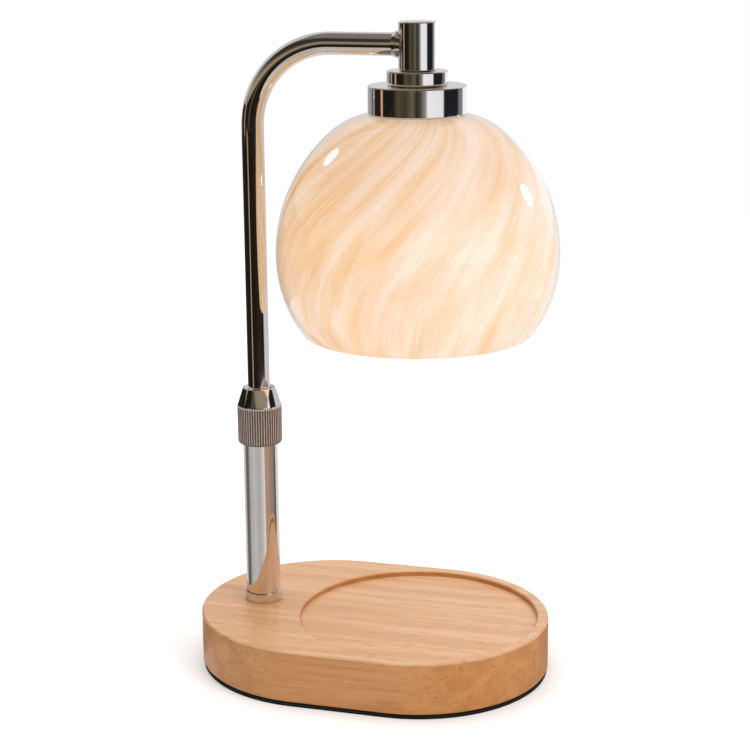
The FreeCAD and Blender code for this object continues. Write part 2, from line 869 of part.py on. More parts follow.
parts = {
    "wood_base": make_wood_base(),
    "base_pad": make_base_pad(),
    "base_plate": make_base_plate(),
    "base_plate_screws": make_base_plate_screws(),
    "cord_grommet": make_cord_grommet(),
    "crimp_caps": make_crimp_caps(),
    "base_lead": make_base_lead(),
    "foot_ring": make_foot_ring(),
    "outer_tube": make_outer_tube(),
    "tube_foot_plug": make_tube_foot_plug(),
    "post_stud": make_post_stud(),
    "stud_washer": make_stud_washer(),
    "stud_nut": make_stud_nut(),
    "collet_body": make_collet_body(),
    "clamp_ring": make_clamp_ring(),
    "knurled_nut": make_knurled_nut(),
    "guide_bush": make_guide_bush(),
    "bush_clips": make_bush_clips(),
    "arm_tube": make_arm_tube(),
    "arm_ferrule": make_arm_ferrule(),
    "arm_lead": make_arm_lead(),
    "tee_hub": make_tee_hub(),
    "neck_disc": make_neck_disc(),
    "shade_cap": make_shade_cap(),
    "head_nipple": make_head_nipple(),
    "lampholder_cover": make_lampholder_cover(),
    "lampholder_body": make_lampholder_body(),
    "holder_contacts": make_holder_contacts(),
    "holder_screws": make_holder_screws(),
    "upper_gasket": make_gasket(land_top),
    "lower_gasket": make_gasket(land_bottom - gasket_thickness),
    "shade_ring": make_shade_ring(),
    "glass_shade": make_glass_shade(),
    "bulb_base": make_bulb_base(),
    "bulb_pins": make_bulb_pins(),
    "bulb_reflector": make_bulb_reflector(),
    "bulb_lens": make_bulb_lens(),
    "bulb_capsule": make_bulb_capsule(),
}

os.makedirs("parts", exist_ok=True)
for name, shape in parts.items():
    shape.exportStep("parts/" + name + ".step")
    print(name, "solids", len(shape.Solids), "volume", round(shape.Volume), "valid", shape.isValid())
print("travel up", round(travel_up, 2), "travel down", travel_down)
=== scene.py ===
import json
import math
import bmesh
import bpy
from mathutils import Matrix, Vector

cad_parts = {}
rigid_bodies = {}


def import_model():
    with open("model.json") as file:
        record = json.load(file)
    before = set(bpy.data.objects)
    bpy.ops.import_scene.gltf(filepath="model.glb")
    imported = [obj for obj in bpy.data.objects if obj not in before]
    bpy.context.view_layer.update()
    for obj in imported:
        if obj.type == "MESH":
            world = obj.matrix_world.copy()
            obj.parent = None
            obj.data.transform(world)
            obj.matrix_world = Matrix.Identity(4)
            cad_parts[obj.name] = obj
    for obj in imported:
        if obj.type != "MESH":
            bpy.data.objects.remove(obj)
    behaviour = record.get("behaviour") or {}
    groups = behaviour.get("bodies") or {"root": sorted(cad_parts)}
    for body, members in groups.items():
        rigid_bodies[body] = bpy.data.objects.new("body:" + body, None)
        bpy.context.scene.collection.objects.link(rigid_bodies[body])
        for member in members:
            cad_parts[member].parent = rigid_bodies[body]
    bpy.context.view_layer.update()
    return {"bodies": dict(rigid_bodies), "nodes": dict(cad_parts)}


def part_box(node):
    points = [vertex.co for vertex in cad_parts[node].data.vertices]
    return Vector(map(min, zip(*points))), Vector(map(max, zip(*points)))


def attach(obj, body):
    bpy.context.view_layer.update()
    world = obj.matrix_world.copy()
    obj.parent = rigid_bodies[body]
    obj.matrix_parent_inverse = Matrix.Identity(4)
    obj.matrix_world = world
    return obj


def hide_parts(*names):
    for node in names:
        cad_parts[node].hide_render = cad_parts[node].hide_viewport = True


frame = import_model()
nodes = frame["nodes"]
MM = 0.001

# Wooden base. A block of beech, sawn, milled with a shallow round recess and sanded, then coated
# with a satin lacquer. It keeps its modelled solid, and the board's grain runs along X.


def linear(hex_colour):
    """Linear colour from an sRGB hex value."""
    shares = [int(hex_colour[place:place + 2], 16) / 255 for place in (1, 3, 5)]
    return [c / 12.92 if c <= 0.04045 else ((c + 0.055) / 1.055) ** 2.4 for c in shares] + [1.0]


def add_node(tree, kind, inputs=None, **settings):
    """Shader node with its settings, and each input linked or set."""
    node = tree.nodes.new("ShaderNode" + kind)
    for name, value in settings.items():
        setattr(node, name, value)
    for name, value in (inputs or {}).items():
        if isinstance(value, bpy.types.NodeSocket):
            tree.links.new(value, node.inputs[name])
        else:
            node.inputs[name].default_value = value
    return node


def start_material(name):
    """Empty material and its node tree."""
    material = bpy.data.materials.new(name)
    material.use_nodes = True
    material.node_tree.nodes.clear()
    return material, material.node_tree


def per_metre(size_mm):
    """Texture scale that gives features of about this size."""
    return 1 / (size_mm * MM)


# Beech: straight grain with soft bands, fine streaks and short dark ray flecks in patches. Sizes in
# mm. The board was sawn a little askew, so the grain runs slightly out of its faces.
ring_width = 7.0
streak_width = 1.1
fleck_width = 1.3
fleck_patch = 34.0
grain_stretch = 0.05
fleck_stretch = 0.16
board_tilt = (0.0, 0.06, 0.05)
beech_light = linear("#D0A780")
beech_warm = linear("#C4956B")
beech_streak = linear("#B48762")
beech_fleck = linear("#6E4830")
beech_side_shade = linear("#EDC269")

beech, tree = start_material("lacquered_beech")
place = add_node(tree, "TexCoord").outputs["Object"]
board = add_node(tree, "Mapping", {"Vector": place, "Rotation": board_tilt,
                                   "Scale": (grain_stretch, 1.0, 1.0)}).outputs[0]
bands = add_node(tree, "TexNoise", {"Vector": board, "Scale": per_metre(ring_width), "Detail": 3.0,
                                    "Roughness": 0.45, "Distortion": 0.6}).outputs[0]
streaks = add_node(tree, "TexNoise", {"Vector": board, "Scale": per_metre(streak_width),
                                      "Detail": 4.0, "Roughness": 0.6}).outputs[0]
short = add_node(tree, "Mapping", {"Vector": place, "Rotation": board_tilt,
                                   "Scale": (fleck_stretch, 1.0, 1.0)}).outputs[0]
flecks = add_node(tree, "TexNoise", {"Vector": short, "Scale": per_metre(fleck_width),
                                     "Detail": 1.0, "Roughness": 0.5}).outputs[0]
patches = add_node(tree, "TexNoise", {"Vector": place, "Scale": per_metre(fleck_patch),
                                      "Detail": 2.0}).outputs[0]
band_share = add_node(tree, "MapRange", {0: bands, 1: 0.38, 2: 0.62, 3: 0.0, 4: 1.0}).outputs[0]
streak_share = add_node(tree, "MapRange", {0: streaks, 1: 0.48, 2: 0.75, 3: 0.0, 4: 0.7}).outputs[0]
fleck_share = add_node(tree, "MapRange", {0: flecks, 1: 0.65, 2: 0.76, 3: 0.0, 4: 0.5}).outputs[0]
patch_share = add_node(tree, "MapRange", {0: patches, 1: 0.4, 2: 0.6, 3: 0.0, 4: 1.0}).outputs[0]
fleck_here = add_node(tree, "Math", {0: fleck_share, 1: patch_share},
                      operation="MULTIPLY").outputs[0]
softly_banded = add_node(tree, "Mix", {0: band_share, 6: beech_light, 7: beech_warm},
                         data_type="RGBA").outputs[2]
streaked = add_node(tree, "Mix", {0: streak_share, 6: softly_banded, 7: beech_streak},
                    data_type="RGBA").outputs[2]
flecked = add_node(tree, "Mix", {0: fleck_here, 6: streaked, 7: beech_fleck},
                   data_type="RGBA").outputs[2]
# Upright faces are multiplied darker and warmer than the top: painted shade, as the light from
# above falls less on the sides.
normal = add_node(tree, "TexCoord").outputs["Normal"]
facing = add_node(tree, "SeparateXYZ", {0: normal}).outputs["Z"]
side_shade_share = add_node(tree, "MapRange", {0: facing, 1: 0.0, 2: 0.9, 3: 0.75, 4: 0.0}).outputs[0]
side_shaded = add_node(tree, "Mix", {0: side_shade_share, 6: flecked, 7: beech_side_shade}, data_type="RGBA",
                 blend_type="MULTIPLY").outputs[2]
pores = add_node(tree, "Bump", {"Height": streaks, "Strength": 0.12, "Distance": 0.0002}).outputs[0]
gloss = add_node(tree, "MapRange", {0: streaks, 1: 0.3, 2: 0.7, 3: 0.34, 4: 0.44}).outputs[0]
shader = add_node(tree, "BsdfPrincipled", {
    "Base Color": side_shaded, "Roughness": gloss, "Normal": pores, "IOR": 1.5,
    "Coat Weight": 0.35, "Coat Roughness": 0.22})
add_node(tree, "OutputMaterial", {"Surface": shader.outputs[0]})
nodes["wood_base"].data.materials[0] = beech

# Pad under the base. Two sheets of black foam rubber die-cut to the base's outline, glued to each
# other with a thin grey film and to the wood. The film's edge shows as one fine line.
pad_sheet = 0.95
pad_film = 0.1
pad_film_inset = 0.02
pad_straight = 43.0
lower_rounding = 0.15
upper_rounding = 0.12
outline_steps = 192


def finish_piece(name, bm, material, turn=32.0):
    """Object from a bmesh, shaded smooth with its sharp edges kept."""
    for face in bm.faces:
        face.smooth = True
    mesh = bpy.data.meshes.new(name)
    bm.to_mesh(mesh)
    bm.free()
    mesh.set_sharp_from_angle(angle=math.radians(turn))
    mesh.materials.append(material)
    piece = bpy.data.objects.new(name, mesh)
    bpy.context.scene.collection.objects.link(piece)
    return piece


def long_round(name, radius, straight, bottom, top, rounding, material):
    """Sheet with two straight sides and half-round ends, its edges rounded. Sizes in mm."""
    bm = bmesh.new()
    half_step = Matrix.Rotation(math.pi / outline_steps, 4, "Z")
    bmesh.ops.create_circle(bm, cap_ends=True, segments=outline_steps, radius=radius * MM,
                            matrix=Matrix.Translation((0, 0, bottom * MM)) @ half_step)
    for vert in bm.verts:
        vert.co.x += math.copysign(straight / 2 * MM, vert.co.x)
    raised = bmesh.ops.extrude_face_region(bm, geom=bm.faces[:])
    upper = [item for item in raised["geom"] if isinstance(item, bmesh.types.BMVert)]
    bmesh.ops.translate(bm, verts=upper, vec=(0, 0, (top - bottom) * MM))
    if rounding:
        rims = [edge for edge in bm.edges if abs(edge.verts[0].co.z - edge.verts[1].co.z) < 1e-7]
        bmesh.ops.bevel(bm, geom=rims, offset=rounding * MM, segments=2, profile=0.5,
                        affect="EDGES", material=-1)
    bmesh.ops.recalc_face_normals(bm, faces=bm.faces[:])
    return finish_piece(name, bm, material)


# Foam rubber: dull black with a closed skin of fine pits.
foam, tree = start_material("black_foam_rubber")
place = add_node(tree, "TexCoord").outputs["Object"]
pits = add_node(tree, "TexVoronoi", {"Vector": place, "Scale": per_metre(0.6)}).outputs["Distance"]
mottle = add_node(tree, "TexNoise", {"Vector": place, "Scale": per_metre(5.0),
                                     "Detail": 3.0}).outputs[0]
shade = add_node(tree, "Mix", {0: mottle, 6: linear("#060505"), 7: linear("#15120F")},
                 data_type="RGBA").outputs[2]
pitted = add_node(tree, "Bump", {"Height": pits, "Strength": 0.4, "Distance": 0.0001}).outputs[0]
shader = add_node(tree, "BsdfPrincipled", {"Base Color": shade, "Roughness": 0.85, "Normal": pitted,
                                           "Specular IOR Level": 0.3})
add_node(tree, "OutputMaterial", {"Surface": shader.outputs[0]})

# Glue film: grey polyester between the sheets.
film, tree = start_material("grey_polyester_film")
place = add_node(tree, "TexCoord").outputs["Object"]
mottle = add_node(tree, "TexNoise", {"Vector": place, "Scale": per_metre(8.0),
                                     "Detail": 2.0}).outputs[0]
shade = add_node(tree, "Mix", {0: mottle, 6: linear("#3A3632"), 7: linear("#57514B")},
                 data_type="RGBA").outputs[2]
shader = add_node(tree, "BsdfPrincipled", {"Base Color": shade, "Roughness": 0.5})
add_node(tree, "OutputMaterial", {"Surface": shader.outputs[0]})

pad_low, pad_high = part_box("base_pad")
pad_radius = (pad_high.y - pad_low.y) / 2 / MM
pad_top = pad_high.z / MM
film_top = pad_sheet + pad_film
lower_sheet = long_round("base_pad_lower", pad_radius, pad_straight, 0.0, pad_sheet,
                         lower_rounding, foam)
film_sheet = long_round("base_pad_film", pad_radius - pad_film_inset, pad_straight, pad_sheet,
                        film_top, 0.0, film)
upper_sheet = long_round("base_pad_upper", pad_radius, pad_straight, film_top, pad_top,
                         upper_rounding, foam)
for sheet in (lower_sheet, film_sheet, upper_sheet):
    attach(sheet, "base")
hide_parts("base_pad")

# Hidden fittings. Pressed and turned steel, zinc plated: the plate, screws, stud, washer and nut of
# the base, and the clips, nipple and pins further up. White nylon crimps and guide bush, leads in a
# black sheath, and the black bush where the cord comes in.


def grained_material(name, dark, light, grain_mm, roughness, metallic=0.0, bump=0.1):
    """Material of a moulded, plated or cast surface, its tone and gloss varied by a fine grain."""
    material, tree = start_material(name)
    place = add_node(tree, "TexCoord").outputs["Object"]
    grain = add_node(tree, "TexNoise", {"Vector": place, "Scale": per_metre(grain_mm),
                                        "Detail": 4.0, "Roughness": 0.6}).outputs[0]
    tone = add_node(tree, "Mix", {0: grain, 6: linear(dark), 7: linear(light)},
                    data_type="RGBA").outputs[2]
    gloss = add_node(tree, "MapRange", {0: grain, 1: 0.3, 2: 0.7, 3: roughness * 0.8,
                                        4: roughness * 1.2}).outputs[0]
    relief = add_node(tree, "Bump", {"Height": grain, "Strength": bump,
                                     "Distance": grain_mm * MM * 0.2}).outputs[0]
    shader = add_node(tree, "BsdfPrincipled", {"Base Color": tone, "Roughness": gloss,
                                               "Metallic": metallic, "Normal": relief})
    add_node(tree, "OutputMaterial", {"Surface": shader.outputs[0]})
    return material


# Zinc plate: bluish grey spangle. Nylon: faint moulded mottle. Sheath: soft black vinyl.
zinc = grained_material("zinc_plated_steel", "#9A9EA3", "#C3C6C9", grain_mm=1.5, roughness=0.35,
                        metallic=1.0)
white_nylon = grained_material("white_moulded_nylon", "#D9D7CF", "#ECEAE4", grain_mm=1.0,
                               roughness=0.45)
black_nylon = grained_material("black_moulded_nylon", "#0E0E0F", "#1C1C1E", grain_mm=0.8,
                               roughness=0.42)
sheath = grained_material("black_vinyl_sheath", "#101010", "#1E1D1C", grain_mm=0.7, roughness=0.5)
for name in ("base_plate", "base_plate_screws", "post_stud", "stud_washer", "stud_nut",
             "bush_clips", "head_nipple", "holder_screws", "bulb_pins"):
    nodes[name].data.materials[0] = zinc
for name in ("crimp_caps", "guide_bush"):
    nodes[name].data.materials[0] = white_nylon
nodes["cord_grommet"].data.materials[0] = black_nylon
for name in ("base_lead", "arm_lead"):
    nodes[name].data.materials[0] = sheath

# Brass inside the post and the head: the brazed foot plug, the split collet body, its tapered clamp
# ring and the contacts of the lampholder, turned from bar or pressed and left bare.
turned_brass = grained_material("turned_brass", "#A9853F", "#CBA65A", grain_mm=0.6,
                                roughness=0.28, metallic=1.0)
for name in ("tube_foot_plug", "collet_body", "clamp_ring", "holder_contacts"):
    nodes[name].data.materials[0] = turned_brass

# Post. A steel tube of 16 mm with a turned collar at its foot, both polished and chrome plated.
# The collar hides the joint with the wood, and its top edge catches the light as a bright line.
tube_rounding = 0.25
tube_wall = 1.0
foot_gap = 0.03
foot_lift = 0.02
foot_groove = 0.25
foot_groove_top = 0.5
foot_groove_slope = 0.25
foot_rounding = 0.12


def turned(name, outline, rounding, place, material, steps=128):
    """Closed outline of radius and height in mm, its corners rounded, spun about its axis."""
    bm = bmesh.new()
    corners = [bm.verts.new((radius * MM, 0, height * MM)) for radius, height in outline]
    bm.faces.new(corners)
    free = [vert for vert in corners if vert.co.x > 1e-6]
    bmesh.ops.bevel(bm, geom=free, offset=rounding * MM, segments=3, profile=0.5,
                    affect="VERTICES", material=-1)
    bmesh.ops.delete(bm, geom=bm.faces[:], context="FACES_ONLY")
    bmesh.ops.spin(bm, geom=bm.verts[:] + bm.edges[:], axis=(0, 0, 1), cent=(0, 0, 0),
                   angle=2 * math.pi, steps=steps, use_merge=True)
    bmesh.ops.remove_doubles(bm, verts=bm.verts[:], dist=1e-6)
    loose = [edge for edge in bm.edges if not edge.link_faces]
    bmesh.ops.delete(bm, geom=loose, context="EDGES")
    bm.transform(place)
    bmesh.ops.recalc_face_normals(bm, faces=bm.faces[:])
    piece = finish_piece(name, bm, material)
    even = piece.modifiers.new("even_shading", "WEIGHTED_NORMAL")
    even.keep_sharp = True
    return piece


def upright(x):
    """Place of an upright piece that stands at x."""
    return Matrix.Translation((x, 0, 0))


# Chrome: mirror plating, with a little haze from handling that only varies the gloss.
chrome, tree = start_material("polished_chrome_plate")
place = add_node(tree, "TexCoord").outputs["Object"]
haze = add_node(tree, "TexNoise", {"Vector": place, "Scale": per_metre(14.0), "Detail": 5.0,
                                   "Roughness": 0.65}).outputs[0]
tone = add_node(tree, "Mix", {0: haze, 6: linear("#DAD7D3"), 7: linear("#E8E5E2")},
                data_type="RGBA").outputs[2]
gloss = add_node(tree, "MapRange", {0: haze, 1: 0.35, 2: 0.7, 3: 0.03, 4: 0.075}).outputs[0]
wave = add_node(tree, "Bump", {"Height": haze, "Strength": 0.006, "Distance": 0.0003}).outputs[0]
shader = add_node(tree, "BsdfPrincipled", {"Base Color": tone, "Metallic": 1.0, "Roughness": gloss,
                                           "Normal": wave})
add_node(tree, "OutputMaterial", {"Surface": shader.outputs[0]})


def round_size(node):
    """Middle x of an upright round node in metres, and its radius, bottom and top in mm."""
    low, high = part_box(node)
    return (low.x + high.x) / 2, (high.x - low.x) / 2 / MM, low.z / MM, high.z / MM


post_x, foot_radius, wood_top, foot_top = round_size("foot_ring")
_, tube_radius, _, tube_top = round_size("outer_tube")
foot_piece = turned("foot_collar", [
    (tube_radius + foot_gap, wood_top + foot_lift),
    (foot_radius - foot_groove, wood_top + foot_lift),
    (foot_radius - foot_groove, wood_top + foot_groove_top),
    (foot_radius, wood_top + foot_groove_top + foot_groove_slope),
    (foot_radius, foot_top),
    (tube_radius + foot_gap, foot_top),
], foot_rounding, upright(post_x), chrome)
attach(foot_piece, "base")
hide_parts("foot_ring")

tube_piece = turned("post_outer_tube", [
    (tube_radius - tube_wall, wood_top),
    (tube_radius, wood_top),
    (tube_radius, tube_top),
    (tube_radius - tube_wall, tube_top),
], tube_rounding, upright(post_x), chrome)
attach(tube_piece, "base")
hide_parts("outer_tube")

# Clamp nut. Turned from brass bar with 54 straight ridges rolled in its grip, a polished cone above
# and a broken edge at the foot, then chrome plated. It screws down on the collet and grips the arm.
ridge_count = 54
ridge_depth = 0.45
nut_radius = 10.25
knurl_height = 18.0
cone_top_radius = 7.4
foot_chamfer = 0.9
runout = 0.8
runout_end = 0.25
shoulder_drop = 0.22
ridge_crown = 0.06
ridge_fade = 0.05
ridge_tolerance = 0.05
knurl_turn = 24.0
skirt_bore = 8.4
skirt_clear = 0.5
arm_gap_radius = 5.4
lip_depth = 0.9
cone_lift = 0.01
cone_inset = 0.2
cone_edge = 0.3
cone_edge_inset = 0.25
cone_rounding = 0.18

# Satin chrome on the ridges: rolled ridges keep a dull grey-brown sheen with fine specks.
satin, tree = start_material("satin_chrome_knurl")
place = add_node(tree, "TexCoord").outputs["Object"]
speck = add_node(tree, "TexNoise", {"Vector": place, "Scale": per_metre(0.9),
                                    "Detail": 4.0}).outputs[0]
tone = add_node(tree, "Mix", {0: speck, 6: linear("#CBBDB2"), 7: linear("#DFD3CA")},
                data_type="RGBA").outputs[2]
gloss = add_node(tree, "MapRange", {0: speck, 1: 0.3, 2: 0.7, 3: 0.24, 4: 0.36}).outputs[0]
shader = add_node(tree, "BsdfPrincipled", {"Base Color": tone, "Metallic": 0.35,
                                           "Roughness": gloss})
add_node(tree, "OutputMaterial", {"Surface": shader.outputs[0]})

# Grooves between the ridges: duller plating, and a darker colour that is painted shade where the
# ridges shade them.
groove_shade_satin = grained_material("dull_groove_painted_shade", "#6E6057", "#82746A", grain_mm=0.5,
                                roughness=0.5, metallic=0.4, bump=0.02)


def ringed(name, rings, count, place, material, groove_shade_material):
    """Body of rings drawn up one on another. A ring is a height, ridge radius and groove radius."""
    bm = bmesh.new()
    bmesh.ops.create_circle(bm, cap_ends=False, segments=4 * count, radius=1.0)
    edges = bm.edges[:]
    for number, (height, ridge, groove) in enumerate(rings):
        if number:
            drawn = bmesh.ops.extrude_edge_only(bm, edges=edges)["geom"]
            edges = [item for item in drawn if isinstance(item, bmesh.types.BMEdge)]
        for vert in {vert for edge in edges for vert in edge.verts}:
            turn = math.atan2(vert.co.y, vert.co.x)
            index = round(turn / (2 * math.pi) * 4 * count) % 4
            radius = (ridge if index < 2 else groove) * MM
            vert.co = (radius * math.cos(turn), radius * math.sin(turn), height * MM)
    bmesh.ops.remove_doubles(bm, verts=bm.verts[:], dist=1e-6)
    # Faces deep in the grooves, outside the bore, take the groove material and its painted shade.
    for face in bm.faces:
        reach = [math.hypot(vert.co.x, vert.co.y) / MM for vert in face.verts]
        shaded_groove = sum(length < groove_radius + ridge_tolerance for length in reach) >= 2
        outside = min(reach) > skirt_bore + skirt_clear
        face.material_index = int(shaded_groove and outside)
    bm.transform(place)
    bmesh.ops.recalc_face_normals(bm, faces=bm.faces[:])
    piece = finish_piece(name, bm, material, knurl_turn)
    piece.data.materials.append(groove_shade_material)
    return piece


_, _, nut_bottom, nut_top = round_size("knurled_nut")
knurl_top = nut_bottom + knurl_height
groove_radius = nut_radius - ridge_depth
nut_knurl = ringed("clamp_nut_knurl", [
    (nut_bottom, skirt_bore, skirt_bore),
    (nut_bottom, nut_radius - foot_chamfer, nut_radius - foot_chamfer),
    (nut_bottom + foot_chamfer * 0.35, nut_radius - foot_chamfer * 0.45,
     groove_radius - foot_chamfer * 0.2),
    (nut_bottom + foot_chamfer, nut_radius - ridge_crown, groove_radius),
    (knurl_top - runout, nut_radius, groove_radius),
    (knurl_top - runout_end, nut_radius - ridge_fade, nut_radius - runout_end),
    (knurl_top, nut_radius - shoulder_drop, nut_radius - shoulder_drop),
    (knurl_top, skirt_bore, skirt_bore),
    (nut_bottom, skirt_bore, skirt_bore),
], ridge_count, upright(post_x), satin, groove_shade_satin)
nut_cone = turned("clamp_nut_cone", [
    (arm_gap_radius, knurl_top + cone_lift),
    (nut_radius - cone_inset, knurl_top + cone_lift),
    (nut_radius - cone_edge_inset, knurl_top + cone_edge),
    (cone_top_radius, nut_top),
    (arm_gap_radius + lip_depth, nut_top),
    (arm_gap_radius, nut_top - lip_depth),
], cone_rounding, upright(post_x), chrome)
for piece in (nut_knurl, nut_cone):
    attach(piece, "nut")
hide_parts("knurled_nut")

# Arm. One steel tube of 10 mm, mandrel-bent through a right angle, polished and chrome plated. It
# slides and turns in the post, and its far end is brazed into the hub behind a small ring.
arm_radius = 5.0
arm_wall = 1.0
arm_bend_radius = 37.0
arm_sides = 64
bend_steps = 48
arm_low, arm_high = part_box("arm_tube")
arm_axis = arm_high.z - arm_radius * MM
bend_start = arm_axis - arm_bend_radius * MM
bm = bmesh.new()
bmesh.ops.create_circle(bm, cap_ends=False, segments=arm_sides, radius=arm_radius * MM,
                        matrix=Matrix.Translation((post_x, 0, arm_low.z)))
grown = bmesh.ops.extrude_edge_only(bm, edges=bm.edges[:])["geom"]
end_verts = [item for item in grown if isinstance(item, bmesh.types.BMVert)]
end_edges = [item for item in grown if isinstance(item, bmesh.types.BMEdge)]
bmesh.ops.translate(bm, verts=end_verts, vec=(0, 0, bend_start - arm_low.z))
bent = bmesh.ops.spin(bm, geom=end_verts + end_edges, axis=(0, 1, 0),
                      cent=(post_x + arm_bend_radius * MM, 0, bend_start), angle=math.pi / 2,
                      steps=bend_steps, use_merge=False)["geom_last"]
end_edges = [item for item in bent if isinstance(item, bmesh.types.BMEdge)]
grown = bmesh.ops.extrude_edge_only(bm, edges=end_edges)["geom"]
end_verts = [item for item in grown if isinstance(item, bmesh.types.BMVert)]
bmesh.ops.translate(bm, verts=end_verts, vec=(arm_high.x - post_x - arm_bend_radius * MM, 0, 0))
bmesh.ops.remove_doubles(bm, verts=bm.verts[:], dist=1e-6)
bmesh.ops.recalc_face_normals(bm, faces=bm.faces[:])
bmesh.ops.solidify(bm, geom=bm.faces[:], thickness=arm_wall * MM)
arm_piece = finish_piece("arm_tube_bent", bm, chrome)
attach(arm_piece, "arm")
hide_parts("arm_tube")

# Hub, ring, disc and cap. Turned and spun steel, polished and chrome plated, with their edges just
# broken. A hollow nipple through all of them holds the lampholder.
hub_radius = 8.1
hub_rounding = 0.55
ring_radius = 5.9
ring_gap = 0.05
ring_lip = 0.25
ring_length = 2.4
ring_slope_end = 0.5
ring_depth = 1.6
ring_rounding = 0.08
nipple_clear = 5.4
seat_lift = 0.02
disc_rounding = 0.6
cap_wall = 1.2
cap_rounding = 0.5
head_x, disc_radius, disc_bottom, disc_top = round_size("neck_disc")
_, cap_radius, cap_bottom, cap_top = round_size("shade_cap")
_, _, hub_bottom, hub_top = round_size("tee_hub")
hub_side = Matrix.Translation((head_x - hub_radius * MM, 0, arm_axis))
ring_piece = turned("arm_ring", [
    (arm_radius + ring_gap, -ring_length),
    (arm_radius + ring_lip, -ring_length),
    (ring_radius, -ring_slope_end),
    (ring_radius, ring_depth),
    (arm_radius + ring_gap, ring_depth),
], ring_rounding, hub_side @ Matrix.Rotation(math.pi / 2, 4, "Y"), chrome)
hub_piece = turned("arm_hub", [
    (0.0, hub_bottom + seat_lift),
    (hub_radius, hub_bottom + seat_lift),
    (hub_radius, hub_top),
    (0.0, hub_top),
], hub_rounding, upright(head_x), chrome)
disc_piece = turned("cap_disc", [
    (nipple_clear, disc_bottom + seat_lift),
    (disc_radius, disc_bottom + seat_lift),
    (disc_radius, disc_top),
    (nipple_clear, disc_top),
], disc_rounding, upright(head_x), chrome)
cap_piece = turned("shade_cap_cup", [
    (cap_radius - cap_wall, cap_bottom),
    (cap_radius, cap_bottom),
    (cap_radius, cap_top),
    (nipple_clear, cap_top),
    (nipple_clear, cap_top - cap_wall),
    (cap_radius - cap_wall, cap_top - cap_wall),
], cap_rounding, upright(head_x), chrome)
for piece, node in ((ring_piece, "arm_ferrule"), (hub_piece, "tee_hub"),
                    (disc_piece, "neck_disc"), (cap_piece, "shade_cap")):
    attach(piece, "arm")
    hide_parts(node)

# Lampholder under the cap. A black moulded cover and retaining ring, a glazed ceramic body and two
# soft silicone washers that hold the glass between them.
ceramic = grained_material("glazed_ceramic", "#DDD8CE", "#EFECE4", grain_mm=2.0, roughness=0.3)
silicone = grained_material("cast_silicone", "#BDB8AE", "#D2CEC5", grain_mm=1.0, roughness=0.6)
for name in ("lampholder_cover", "shade_ring"):
    nodes[name].data.materials[0] = black_nylon
for name in ("lampholder_body", "bulb_base"):
    nodes[name].data.materials[0] = ceramic
for name in ("upper_gasket", "lower_gasket"):
    nodes[name].data.materials[0] = silicone

# Glass shade. Mouth-blown cased glass: streaks of amber and cream drawn and twisted in opal, under
# a clear skin. Blown in a round mould, cut open below and fire polished; it hangs from the cap. Its
# wall is spun from three arcs that meet smoothly: the skirt, the side and the shoulder.
glass_radius = 62.7
glass_wall = 3.0
skirt_arc = 58.3
shoulder_arc = 31.0
shoulder_turn = math.radians(50.0)
mouth_radius = 50.5
mouth_rounding = 1.2
mouth_zone = 3.0
edge_turn = 60.0
shade_turn = 50.0
hole_radius = 15.4
land_radius = 17.3
skirt_steps = 14
side_steps = 30
shoulder_steps = 18
round_steps = 160
side_arc = ((glass_radius - land_radius - shoulder_arc * math.cos(shoulder_turn))
            / (1 - math.cos(shoulder_turn)))
shade_low, shade_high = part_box("glass_shade")
land_rise = (side_arc - shoulder_arc) * math.sin(shoulder_turn) + shoulder_arc
widest = shade_high.z / MM - land_rise
bm = bmesh.new()
skirt_middle = glass_radius - skirt_arc
mouth_turn = math.acos((mouth_radius - skirt_middle) / skirt_arc)
mouth_height = widest - skirt_arc * math.sin(mouth_turn)
tip = bm.verts.new((mouth_radius * MM, 0, mouth_height * MM))
arcs = [
    (skirt_middle, widest, mouth_turn, skirt_steps),
    (glass_radius - side_arc, widest, shoulder_turn, side_steps),
    (land_radius, widest + (side_arc - shoulder_arc) * math.sin(shoulder_turn),
     math.pi / 2 - shoulder_turn, shoulder_steps),
]
for middle, height, turn, steps in arcs:
    drawn = bmesh.ops.spin(bm, geom=[tip], axis=(0, -1, 0), cent=(middle * MM, 0, height * MM),
                           angle=turn, steps=steps, use_merge=False)["geom_last"]
    tip = [item for item in drawn if isinstance(item, bmesh.types.BMVert)][0]
inward = bmesh.ops.extrude_vert_indiv(bm, verts=[tip])["verts"]
bmesh.ops.translate(bm, verts=inward, vec=((hole_radius - land_radius) * MM, 0, 0))
bmesh.ops.spin(bm, geom=bm.verts[:] + bm.edges[:], axis=(0, 0, 1), cent=(0, 0, 0),
               angle=2 * math.pi, steps=round_steps, use_merge=True)
bmesh.ops.remove_doubles(bm, verts=bm.verts[:], dist=1e-6)
bm.transform(upright(head_x))
bmesh.ops.recalc_face_normals(bm, faces=bm.faces[:])
bmesh.ops.solidify(bm, geom=bm.faces[:], thickness=glass_wall * MM)
mouth_edges = [edge for edge in bm.edges
               if max(vert.co.z for vert in edge.verts) < shade_low.z + mouth_zone * MM
               and edge.calc_face_angle(0) > math.radians(edge_turn)]
bmesh.ops.bevel(bm, geom=mouth_edges, offset=mouth_rounding * MM, segments=4, profile=0.5,
                affect="EDGES", material=-1)
